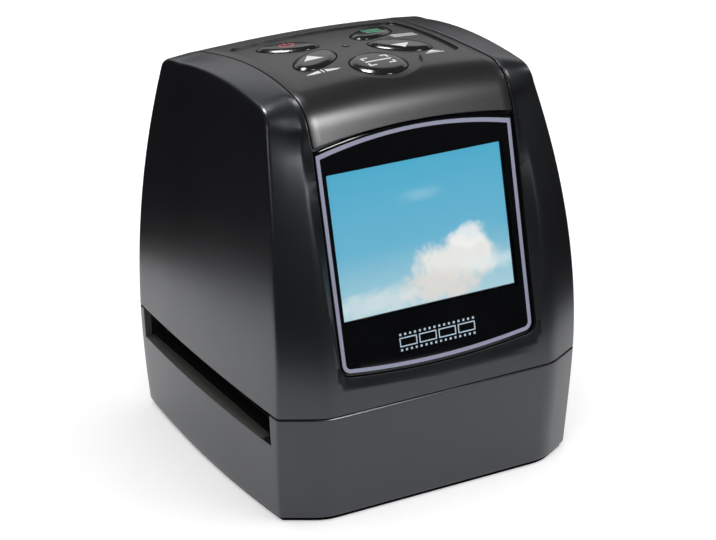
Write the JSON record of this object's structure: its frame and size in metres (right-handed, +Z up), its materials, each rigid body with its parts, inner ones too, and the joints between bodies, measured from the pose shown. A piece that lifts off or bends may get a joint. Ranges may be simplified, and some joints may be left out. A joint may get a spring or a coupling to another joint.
{
  "type": "film negative scanner",
  "caption": "Desktop film negative scanner: a through slot for film carriers, a tilted display in the front and press keys on a cover that wraps over the top.",
  "frame": {"origin": "on the table, under the middle of the scanner's bounding box", "axes": "+Z up, the display and brow face -Y, +X to the right for someone who looks at the display"},
  "size_m": [0.0864, 0.0918, 0.1055],
  "materials": {
    "shell_plastic": "satin moulded black",
    "cover_plastic": "satin moulded black",
    "key_plastic": "semi-gloss black",
    "inner_plastic": "fine matt black",
    "white_plastic": "matt white",
    "pane_gloss": "polished, dark behind, clear over the display",
    "lcd_glass": "polished",
    "clear_plastic": "frosted",
    "lens_glass": "polished",
    "circuit_board": "solder mask, satin",
    "chip_black": "moulded, matt",
    "steel": "plated, satin",
    "foot_rubber": "matt",
    "ribbon": "film, satin"
  },
  "bodies": {
    "housing": {"base_plate": "inner_plastic", "base_shell": "shell_plastic", "board_screw_1": "steel", "board_screw_2": "steel", "card_socket": "steel", "casing_screw_1": "steel", "casing_screw_2": "steel", "casing_screw_3": "steel", "casing_screw_4": "steel", "detent_cap": "inner_plastic", "detent_spring": "steel", "diffuser_plate": "clear_plastic", "display_cable": "ribbon", "display_pane": "pane_gloss", "foot_1": "foot_rubber", "foot_2": "foot_rubber", "foot_3": "foot_rubber", "foot_4": "foot_rubber", "image_processor": "chip_black", "image_sensor": "chip_black", "key_board": "circuit_board", "key_board_screw_left": "steel", "key_board_screw_right": "steel", "key_cable": "ribbon", "lamp_cable": "ribbon", "lcd_panel": "lcd_glass", "lcd_tray": "inner_plastic", "left_switch": "chip_black", "lens_barrel": "inner_plastic", "lens_glass": "lens_glass", "lens_holder": "inner_plastic", "light_board": "circuit_board", "light_box": "white_plastic", "light_led_1": "white_plastic", "light_led_2": "white_plastic", "lower_film_guide": "inner_plastic", "main_board": "circuit_board", "menu_switch": "chip_black", "optical_hood": "inner_plastic", "power_switch": "chip_black", "right_switch": "chip_black", "scan_switch": "chip_black", "sensor_board": "circuit_board", "status_led": "clear_plastic", "top_cover": "cover_plastic", "tv_jack": "chip_black", "upper_film_guide": "inner_plastic", "upper_shell": "shell_plastic", "usb_socket": "steel"},
    "power_button": {"power_key": "key_plastic", "power_plunger": "white_plastic"},
    "menu_button": {"menu_key": "key_plastic", "menu_plunger": "white_plastic"},
    "left_button": {"left_key": "key_plastic", "left_plunger": "white_plastic"},
    "right_button": {"right_key": "key_plastic", "right_plunger": "white_plastic"},
    "scan_button": {"scan_key": "key_plastic", "scan_plunger": "white_plastic"},
    "detent": {"detent_pin": "steel"}
  },
  "joints": [
    {"name": "power_press", "type": "slide", "parent": "housing", "child": "power_button", "axis": [0, 0, -1], "range_m": [0, 0.0005], "stiffness_N_per_m": 1000, "springref_m": -0.0005},
    {"name": "menu_press", "type": "slide", "parent": "housing", "child": "menu_button", "axis": [0, 0, -1], "range_m": [0, 0.0005], "stiffness_N_per_m": 1000, "springref_m": -0.0005},
    {"name": "left_press", "type": "slide", "parent": "housing", "child": "left_button", "axis": [0, 0, -1], "range_m": [0, 0.0005], "stiffness_N_per_m": 1000, "springref_m": -0.0005},
    {"name": "right_press", "type": "slide", "parent": "housing", "child": "right_button", "axis": [0, 0, -1], "range_m": [0, 0.0005], "stiffness_N_per_m": 1000, "springref_m": -0.0005},
    {"name": "scan_press", "type": "slide", "parent": "housing", "child": "scan_button", "axis": [0, 0, -1], "range_m": [0, 0.0005], "stiffness_N_per_m": 1000, "springref_m": -0.0005},
    {"name": "detent_lift", "type": "slide", "parent": "housing", "child": "detent", "axis": [0, 0, 1], "range_m": [0, 0.0008], "stiffness_N_per_m": 400, "springref_m": -0.001, "deforming": ["detent_spring"]}
  ]
}
